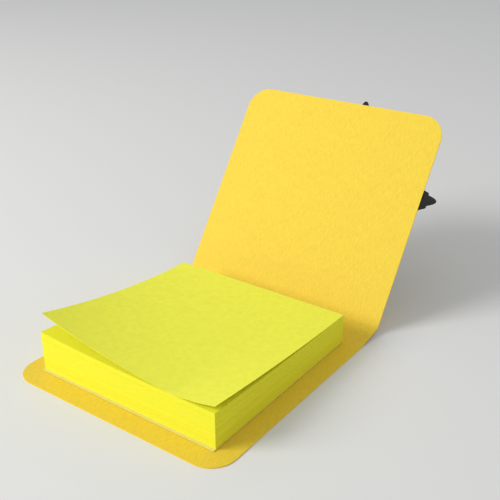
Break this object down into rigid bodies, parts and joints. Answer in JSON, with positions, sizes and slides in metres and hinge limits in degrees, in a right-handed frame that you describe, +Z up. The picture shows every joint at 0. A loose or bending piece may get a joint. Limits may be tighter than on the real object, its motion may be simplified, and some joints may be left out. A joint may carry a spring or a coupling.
{
  "type": "sticky note pad",
  "caption": "Square sticky note pad stuck in a fold-over card cover with two scored folds, shown standing open.",
  "frame": {"origin": "middle of the back panel's underside, on the table", "axes": "+X along the folds to the right, +Y from the front edge towards the spine, +Z up"},
  "size_m": [0.0969, 0.1485, 0.0735],
  "materials": {
    "cover_card": "matte, fine linen emboss",
    "tape": "matte",
    "backing_paper": "matte",
    "note_paper": "matte",
    "flower_card": "satin"
  },
  "bodies": {
    "back_cover": {"back_panel": "cover_card", "mounting_tape": "tape", "backing_sheet": "backing_paper", "note_block": "note_paper", "top_note": "note_paper"},
    "spine": {"spine_panel": "cover_card"},
    "front_cover": {"front_panel": "cover_card", "cover_flower": "flower_card"}
  },
  "joints": [
    {"name": "spine_fold", "type": "hinge", "parent": "back_cover", "child": "spine", "pos_m": [0, 0.0432, 0.0002], "axis": [1, 0, 0], "range_deg": [-10.5, 79.5], "deforming": ["top_note"]},
    {"name": "cover_fold", "type": "hinge", "parent": "spine", "child": "front_cover", "pos_m": [0, 0.05549, 0.00248], "axis": [1, 0, 0], "range_deg": [-42, 42]}
  ]
}
